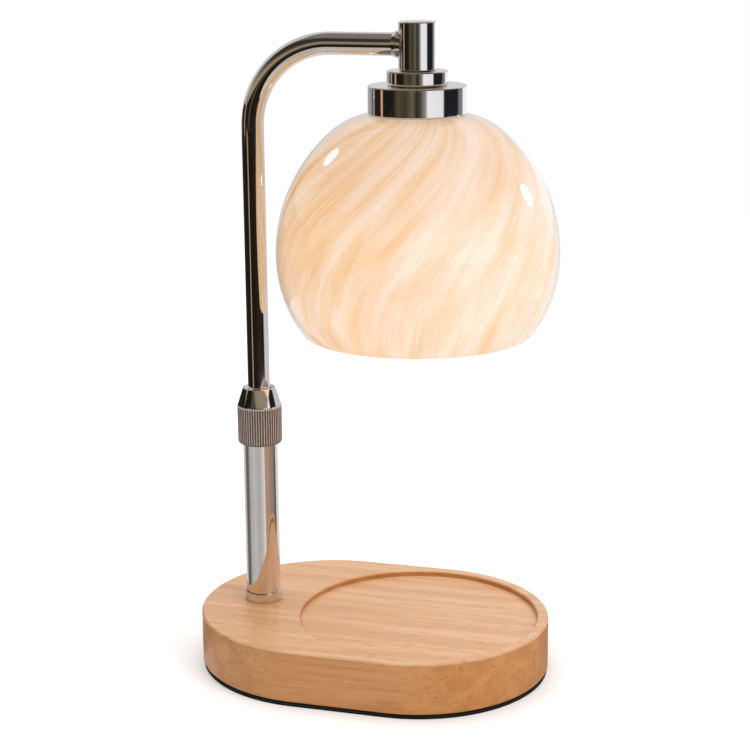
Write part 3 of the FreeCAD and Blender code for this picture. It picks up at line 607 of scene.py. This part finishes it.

# Streaks: broad veils and fine threads, in mm, that run down the glass and twist more towards the
# top. More amber on the post's side is partly the glass and partly painted light, the right paler.
# Edge-on, the clear skin has a painted pale reflection. The bulb inside makes the whole glass glow,
# a little less under the cap.
twist = 1.15
veil_width = 12.0
thread_width = 1.7
veil_stretch = 0.3
thread_stretch = 0.07
cream = linear("#FCE5D2")
amber = linear("#F4BE7F")
bright = linear("#FFEFDD")
skin_reflection = linear("#E6E4E4")
body_share = 0.33
glass_glow = 0.77
cased, tree = start_material("cased_amber_opal_glass")
place = add_node(tree, "TexCoord").outputs["Object"]
centred = add_node(tree, "Mapping", {"Vector": place,
                                     "Location": (-head_x, 0.0, -shade_low.z)}).outputs[0]
parts = add_node(tree, "SeparateXYZ", {0: centred})
rise = add_node(tree, "Math", {0: parts.outputs["Z"], 1: shade_high.z - shade_low.z},
                operation="DIVIDE").outputs[0]
square = add_node(tree, "Math", {0: rise, 1: rise}, operation="MULTIPLY").outputs[0]
angle = add_node(tree, "Math", {0: square, 1: -twist}, operation="MULTIPLY").outputs[0]
flat = add_node(tree, "CombineXYZ", {0: parts.outputs["X"], 1: parts.outputs["Y"]}).outputs[0]
around = add_node(tree, "VectorMath", {0: flat}, operation="NORMALIZE").outputs[0]
girth = add_node(tree, "VectorMath", {0: around, "Scale": glass_radius * MM},
                 operation="SCALE").outputs[0]
turned_round = add_node(tree, "VectorRotate", {"Vector": girth, "Angle": angle},
                        rotation_type="Z_AXIS").outputs[0]
level = add_node(tree, "CombineXYZ", {2: parts.outputs["Z"]}).outputs[0]
swirl = add_node(tree, "VectorMath", {0: turned_round, 1: level}, operation="ADD").outputs[0]
veil_place = add_node(tree, "Mapping", {"Vector": swirl,
                                        "Scale": (1.0, 1.0, veil_stretch)}).outputs[0]
veils = add_node(tree, "TexNoise", {"Vector": veil_place, "Scale": per_metre(veil_width),
                                    "Detail": 3.0, "Roughness": 0.5,
                                    "Distortion": 0.35}).outputs[0]
thread_place = add_node(tree, "Mapping", {"Vector": swirl,
                                          "Scale": (1.0, 1.0, thread_stretch)}).outputs[0]
threads = add_node(tree, "TexNoise", {"Vector": thread_place, "Scale": per_metre(thread_width),
                                      "Detail": 3.0, "Roughness": 0.55}).outputs[0]
# More amber towards the post's side and paler to the right: partly the glass's own tone, partly
# painted light where the right is lit more.
amber_side_and_light = add_node(tree, "MapRange", {0: parts.outputs["X"], 1: -glass_radius * MM,
                                        2: glass_radius * MM, 3: 0.28, 4: -0.22}).outputs[0]
veil_base = add_node(tree, "MapRange", {0: veils, 1: 0.34, 2: 0.68, 3: 0.05, 4: 0.75}).outputs[0]
veil_share = add_node(tree, "Math", {0: veil_base, 1: amber_side_and_light}, operation="ADD",
                      use_clamp=True).outputs[0]
thread_share = add_node(tree, "MapRange", {0: threads, 1: 0.56, 2: 0.74, 3: 0.0, 4: 0.5}).outputs[0]
dark_share = add_node(tree, "MapRange", {0: threads, 1: 0.28, 2: 0.46, 3: 0.35, 4: 0.0}).outputs[0]
veiled = add_node(tree, "Mix", {0: veil_share, 6: cream, 7: amber}, data_type="RGBA").outputs[2]
threaded = add_node(tree, "Mix", {0: thread_share, 6: veiled, 7: bright},
                    data_type="RGBA").outputs[2]
streaky = add_node(tree, "Mix", {0: dark_share, 6: threaded, 7: amber},
                   data_type="RGBA").outputs[2]
# Pale grey mixed in where the glass is seen edge-on: a painted reflection in the clear skin, which
# the glow takes up too.
edge = add_node(tree, "LayerWeight", {"Blend": 0.5}).outputs["Facing"]
edge_reflection_share = add_node(tree, "MapRange", {0: edge, 1: 0.74, 2: 0.84, 3: 0.0, 4: 0.7}).outputs[0]
edge_reflected = add_node(tree, "Mix", {0: edge_reflection_share, 6: streaky, 7: skin_reflection},
                   data_type="RGBA").outputs[2]
body_tone = add_node(tree, "VectorMath", {0: edge_reflected, "Scale": body_share},
                     operation="SCALE").outputs[0]
glow_share = add_node(tree, "MapRange", {0: rise, 1: 0.5, 2: 1.0, 3: 1.0, 4: 0.66}).outputs[0]
glow_tone = add_node(tree, "VectorMath", {0: edge_reflected, "Scale": glow_share},
                     operation="SCALE").outputs[0]
shader = add_node(tree, "BsdfPrincipled", {
    "Base Color": body_tone, "Roughness": 0.3, "IOR": 1.5, "Specular IOR Level": 0.0,
    "Coat Weight": 1.0, "Coat Roughness": 0.03, "Emission Color": glow_tone,
    "Emission Strength": glass_glow})
add_node(tree, "OutputMaterial", {"Surface": shader.outputs[0]})
shade_piece = finish_piece("glass_shade_globe", bm, cased, shade_turn)
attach(shade_piece, "arm")
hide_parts("glass_shade")

# Bulb. A pressed-glass reflector bulb with two pins: mirrored bell, ribbed front glass and a small
# frosted capsule that glows. It stands in the holder and sends its light and heat down.
bulb_light_width = 0.04
bulb_light_power = 0.03
bulb_light_drop = 2.0
mirror = grained_material("aluminised_mirror", "#CFCBC4", "#E2DFDA", grain_mm=3.0,
                          roughness=0.12, metallic=1.0)
nodes["bulb_reflector"].data.materials[0] = mirror
glow_colour = linear("#FFD9A6")
for node, name, strength, rib_mm in (("bulb_lens", "pressed_lens_glass", 2.0, 2.2),
                                     ("bulb_capsule", "frosted_capsule_glass", 8.0, 0.8)):
    glowing, tree = start_material(name)
    place = add_node(tree, "TexCoord").outputs["Object"]
    ribs = add_node(tree, "TexVoronoi", {"Vector": place,
                                         "Scale": per_metre(rib_mm)}).outputs["Distance"]
    tone = add_node(tree, "Mix", {0: ribs, 6: linear("#FFF4E2"), 7: linear("#FFE3BC")},
                    data_type="RGBA").outputs[2]
    relief = add_node(tree, "Bump", {"Height": ribs, "Strength": 0.5,
                                     "Distance": 0.0004}).outputs[0]
    shader = add_node(tree, "BsdfPrincipled", {
        "Base Color": tone, "Roughness": 0.15, "Normal": relief, "Emission Color": glow_colour,
        "Emission Strength": strength})
    add_node(tree, "OutputMaterial", {"Surface": shader.outputs[0]})
    nodes[node].data.materials[0] = glowing
lens_low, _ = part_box("bulb_lens")
glow = bpy.data.lights.new("bulb_glow", "AREA")
glow.shape = "DISK"
glow.size = bulb_light_width
glow.energy = bulb_light_power
glow.color = glow_colour[:3]
glow_object = bpy.data.objects.new("bulb_glow", glow)
glow_object.location = (head_x, 0, lens_low.z - bulb_light_drop * MM)
bpy.context.scene.collection.objects.link(glow_object)
glow_object.parent = frame["bodies"]["arm"]

# Studio floor. A round sheet of white paper, much wider than the lamp, which stands on its middle.
# Sizes from here to the lights are in metres.
floor_radius = 1.25
floor_steps = 96
floor_material = grained_material("white_paper_floor", "#F4F4F4", "#FAFAFA", grain_mm=4.0,
                                  roughness=0.9, bump=0.02)
bm = bmesh.new()
bmesh.ops.create_circle(bm, cap_ends=True, segments=floor_steps, radius=floor_radius)
floor = finish_piece("floor", bm, floor_material)

# Reflector cards. Printed card round, under and over the lamp, which only gloss shows, so that the
# chrome gets its light and dark bands. Their colours are laid out from the side that is looked at.
camera_turn = math.radians(16.38)
card_steps = 96
card_radius = 0.45
table_card_lift = 0.0002
low_card_bottom = 0.001
low_card_top = 0.197
middle_card_top = 0.28
card_top = 0.9


def only_for_mirrors(card):
    """Card that shows in gloss and lights nothing."""
    card.visible_camera = False
    card.visible_diffuse = False
    card.visible_shadow = False
    card.visible_transmission = False


def banded(tree, share, stops):
    """Colour that runs through the stops, each a place from 0 to 1 and its colour."""
    node = add_node(tree, "ValToRGB", {0: share})
    bands = node.color_ramp.elements
    while len(bands) < len(stops):
        bands.new(1.0)
    for band, (position, colour) in zip(bands, stops):
        band.position = position
        band.color = linear(colour)
    return node.outputs[0]


def card_material(name, centre_x, stops):
    """Material, tree and colour of a card; the colour runs round through stops in degrees."""
    material, tree = start_material(name)
    place = add_node(tree, "TexCoord").outputs["Object"]
    moved = add_node(tree, "VectorMath", {0: place, 1: (centre_x, 0.0, 0.0)},
                     operation="SUBTRACT").outputs[0]
    faced = add_node(tree, "VectorRotate", {"Vector": moved, "Angle": math.pi / 2 - camera_turn},
                     rotation_type="Z_AXIS").outputs[0]
    axes = add_node(tree, "SeparateXYZ", {0: faced})
    angle = add_node(tree, "Math", {0: axes.outputs["Y"], 1: axes.outputs["X"]},
                     operation="ARCTAN2").outputs[0]
    share = add_node(tree, "MapRange", {0: angle, 1: -math.pi, 2: math.pi,
                                        3: 0.0, 4: 1.0}).outputs[0]
    shares = [((degrees + 180) / 360, colour) for degrees, colour in stops]
    return material, tree, banded(tree, share, shares)


def flat_card(name, height, material):
    """Round sheet of card at a height in metres."""
    bm = bmesh.new()
    bmesh.ops.create_circle(bm, cap_ends=True, segments=card_steps, radius=card_radius,
                            matrix=Matrix.Translation((0, 0, height)))
    only_for_mirrors(finish_piece(name, bm, material))


def ring_card(name, bottom, top, material):
    """Round wall of card between two heights in metres."""
    bm = bmesh.new()
    bmesh.ops.create_circle(bm, cap_ends=False, segments=card_steps, radius=card_radius,
                            matrix=Matrix.Translation((0, 0, bottom)))
    grown = bmesh.ops.extrude_edge_only(bm, edges=bm.edges[:])["geom"]
    upper = [item for item in grown if isinstance(item, bmesh.types.BMVert)]
    bmesh.ops.translate(bm, verts=upper, vec=(0, 0, top - bottom))
    only_for_mirrors(finish_piece(name, bm, material))


# Low card: the upright arm mirrors it, almost black with one tan line.
material, tree, tone = card_material("studio_low_card", post_x, [
    (-180, "#D0D0D0"), (-166, "#C0C0C0"), (-158, "#2E2D29"), (-64, "#181714"), (-60, "#B89C78"),
    (-53, "#C4A884"), (-49, "#1E1A14"), (-4, "#241F19"), (19, "#2E2822"),
    (70, "#2A2420"), (76, "#E0DEE2"), (150, "#D8D8DC"), (180, "#D0D0D0")])
light = add_node(tree, "Emission", {"Color": tone, "Strength": 1.0})
add_node(tree, "OutputMaterial", {"Surface": light.outputs[0]})
ring_card("studio_low_card", low_card_bottom, low_card_top, material)

# Middle card: the hub, disc and cap mirror it in bands of black, olive, grey and white.
material, tree, tone = card_material("studio_middle_card", head_x, [
    (-180, "#B4B4B4"), (-132, "#8E8E8C"), (-124, "#222226"), (-94, "#1C1C1E"), (-92, "#D9A17A"),
    (-88, "#D9A17A"), (-86, "#18181A"), (-58, "#1A1916"), (-46, "#4E4738"), (-28, "#3C372B"),
    (-12, "#625C4D"), (-3, "#2A2720"), (6, "#4A4640"), (17, "#8E8C88"), (22, "#ECEAF2"),
    (58, "#E2E2E8"), (62, "#1A1C20"), (102, "#1E2024"), (108, "#6A6A70"), (124, "#8A8A90"),
    (128, "#F4F4F4"), (180, "#E4E4E4")])
light = add_node(tree, "Emission", {"Color": tone, "Strength": 1.3})
add_node(tree, "OutputMaterial", {"Surface": light.outputs[0]})
ring_card("studio_middle_card", low_card_top, middle_card_top, material)

# High card and its lid: the bend and the level arm mirror them, dark with one soft tan band that
# runs round at a height, and pale at the back, which shows at the edges of the glass.
material, tree, back_share = card_material("studio_high_card", head_x, [
    (-180, "#FFFFFF"), (-124, "#FFFFFF"), (-100, "#000000"), (100, "#000000"),
    (124, "#FFFFFF"), (180, "#FFFFFF")])
place = add_node(tree, "TexCoord").outputs["Object"]
height = add_node(tree, "SeparateXYZ", {0: place}).outputs["Z"]
front = banded(tree, height, [
    (0.27, "#8A8068"), (0.33, "#B0A488"), (0.41, "#7A705A"), (0.50, "#3E3A30"),
    (0.70, "#34322C"), (0.9, "#6A6662")])
mixed = add_node(tree, "Mix", {0: back_share, 6: front, 7: linear("#DCDCDC")},
                 data_type="RGBA").outputs[2]
light = add_node(tree, "Emission", {"Color": mixed, "Strength": 1.0})
add_node(tree, "OutputMaterial", {"Surface": light.outputs[0]})
ring_card("studio_high_card", middle_card_top, card_top, material)
lid, tree = start_material("studio_lid_card")
light = add_node(tree, "Emission", {"Color": linear("#85817C"), "Strength": 1.0})
add_node(tree, "OutputMaterial", {"Surface": light.outputs[0]})

# Table card: the lower tube mirrors it, pale grey with a dark left and a peach and mauve right.
material, tree, tone = card_material("studio_table_card", post_x, [
    (-180, "#E8E8EA"), (-124, "#D8D8DC"), (-112, "#7A7472"), (-92, "#6A6462"), (-72, "#C4C0BE"),
    (-40, "#D2CECC"), (-12, "#C0BCBA"), (12, "#D8D4D2"), (20, "#F0ECEA"), (26, "#F4F0EE"),
    (29, "#C89E80"), (54, "#C09A80"), (62, "#A8948E"), (96, "#98847E"), (104, "#5A4840"),
    (112, "#6A564C"), (118, "#E8E8EA"), (180, "#F0F0F0")])
light = add_node(tree, "Emission", {"Color": tone, "Strength": 1.0})
add_node(tree, "OutputMaterial", {"Surface": light.outputs[0]})
flat_card("studio_table_card", table_card_lift, material)
flat_card("studio_lid_card", card_top, lid)

# Lights. A wide softbox overhead and a small one at the right, which gloss doesn't show, and two
# little round ones behind the lamp that only the glass gets, for its two bright spots.


def soft_light(name, place, aim, size, power):
    """Area light at a place, facing its aim. Metres and watts."""
    light = bpy.data.lights.new(name, "AREA")
    light.size = size
    light.energy = power
    lamp = bpy.data.objects.new(name, light)
    lamp.location = place
    lamp.rotation_euler = (Vector(aim) - Vector(place)).to_track_quat("-Z", "Y").to_euler()
    lamp.visible_camera = False
    bpy.context.scene.collection.objects.link(lamp)
    return lamp


overhead = soft_light("overhead_softbox", place=(-0.3, 0.2, 2.5), aim=(0, 0, 0), size=4.0,
                      power=94.0)
right_softbox = soft_light("right_softbox", place=(1.1, -0.5, 0.9), aim=(0.02, 0, 0.1), size=0.8,
                           power=9.0)
for softbox in (overhead, right_softbox):
    softbox.visible_glossy = False
left_spark = soft_light("left_spark", place=(-0.395, 0.141, 0.503),
                        aim=(-0.0068, -0.0352, 0.2419), size=0.078, power=1.0)
right_spark = soft_light("right_spark", place=(0.351, 0.245, 0.345),
                         aim=(0.074, -0.0182, 0.2261), size=0.075, power=1.0)
only_glass = bpy.data.collections.new("only_glass")
only_glass.objects.link(shade_piece)
for spark in (left_spark, right_spark):
    spark.data.shape = "DISK"
    spark.visible_diffuse = False
    spark.light_linking.receiver_collection = only_glass
    spark.light_linking.blocker_collection = only_glass

# White room. Its walls are seen as plain white, and they light the lamp evenly from all sides with
# about a third of that strength.
room_light = 0.35
world = bpy.data.worlds.new("white_studio")
bpy.context.scene.world = world
world.use_nodes = True
sky = world.node_tree
sky.nodes.clear()
seen = add_node(sky, "LightPath").outputs["Is Camera Ray"]
white = add_node(sky, "Background", {"Color": (1.0, 1.0, 1.0, 1.0), "Strength": 1.0}).outputs[0]
soft = add_node(sky, "Background", {"Color": (1.0, 1.0, 1.0, 1.0),
                                    "Strength": room_light}).outputs[0]
both = add_node(sky, "MixShader", {0: seen, 1: soft, 2: white}).outputs[0]
add_node(sky, "OutputWorld", {"Surface": both})

# Camera. It was fitted to the outlines in the photograph, and stands in front, a little to the
# right and above, rolled by half a degree. Distances are in metres, the sensor in millimetres.
camera_rise = math.radians(14.63)
camera_roll = math.radians(-0.475)
camera_distance = 0.8423
camera_target = Vector((0.0014, 0.0, 0.1386))
focal_pixels = 1864.5
image_width = 750
sensor_width = 36.0
back = Vector((math.sin(camera_turn) * math.cos(camera_rise),
               -math.cos(camera_turn) * math.cos(camera_rise), math.sin(camera_rise)))
right = (-back).cross(Vector((0, 0, 1))).normalized()
up = right.cross(-back)
rolled_right = right * math.cos(camera_roll) + up * math.sin(camera_roll)
rolled_up = up * math.cos(camera_roll) - right * math.sin(camera_roll)
camera_data = bpy.data.cameras.new("camera")
camera_data.sensor_width = sensor_width
camera_data.lens = focal_pixels / image_width * sensor_width
camera_data.clip_start = 0.01
camera_data.clip_end = 100.0
camera = bpy.data.objects.new("camera", camera_data)
turn = Matrix((rolled_right, rolled_up, back)).transposed()
camera.matrix_world = Matrix.Translation(camera_target + back * camera_distance) @ turn.to_4x4()
bpy.context.scene.collection.objects.link(camera)
bpy.context.scene.camera = camera
bpy.context.scene.view_settings.view_transform = "Standard"
